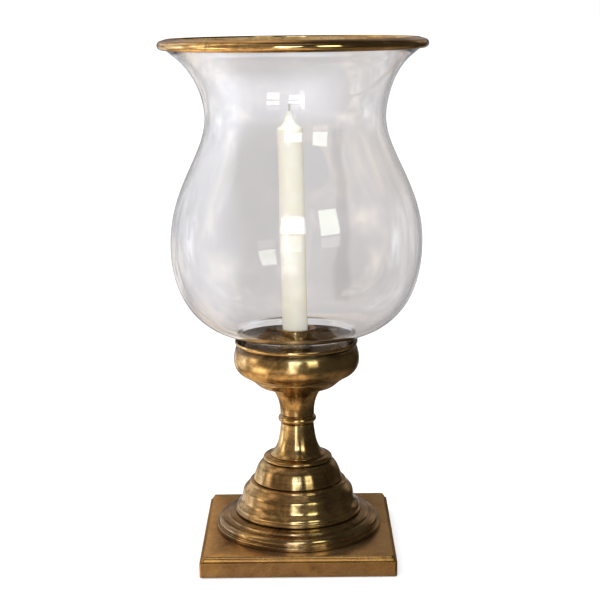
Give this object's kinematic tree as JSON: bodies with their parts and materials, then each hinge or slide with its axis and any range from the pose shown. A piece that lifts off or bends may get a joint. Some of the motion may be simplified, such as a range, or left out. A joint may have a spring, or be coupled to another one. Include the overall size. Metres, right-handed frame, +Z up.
{
  "type": "hurricane lamp",
  "caption": "Turned brass pedestal on a square plinth, with a cup that holds a candle in a socket and a flared, round-bellied clear glass shade with a brass rim, which lifts off.",
  "frame": {"origin": "middle of the plane that the felt pads stand on, under the pedestal's axis", "axes": "+Z up along the pedestal's axis; +X to the right and -Y towards the viewer in the picture"},
  "size_m": [0.227, 0.227, 0.4443],
  "materials": {
    "aged_brass": "turned, polished and aged, dark in the grooves",
    "polished_brass": "polished, lightly tarnished",
    "plated_steel": "zinc plated",
    "green_felt": "pressed wool felt",
    "ivory_wax": "smooth, slightly glossy wax",
    "waxed_cotton": "braided cotton, waxed, not yet lit",
    "clear_glass": "clear blown glass"
  },
  "bodies": {
    "root": {"base_plinth": "aged_brass", "felt_pad_1": "green_felt", "felt_pad_2": "green_felt", "felt_pad_3": "green_felt", "felt_pad_4": "green_felt", "tie_rod": "plated_steel", "rod_washer": "plated_steel", "rod_nut": "plated_steel", "foot_ring": "aged_brass", "lower_dome": "aged_brass", "upper_dome": "aged_brass", "collar": "aged_brass", "lower_stem": "aged_brass", "knop": "aged_brass", "upper_stem": "aged_brass", "bowl_foot": "aged_brass", "cup_bowl": "aged_brass", "candle_pan": "aged_brass", "candle_socket": "aged_brass", "drip_ring": "aged_brass"},
    "shade": {"glass_shade": "clear_glass", "rim_ring": "polished_brass"},
    "candle": {"candle": "ivory_wax", "wick": "waxed_cotton"}
  },
  "joints": [
    {"name": "shade_lift", "type": "slide", "parent": "root", "child": "shade", "axis": [0, 0, 1], "range_m": [0, 0.215]},
    {"name": "candle_pull", "type": "slide", "parent": "root", "child": "candle", "axis": [-0.014, 0, 0.9999], "range_m": [0, 0.275]}
  ]
}
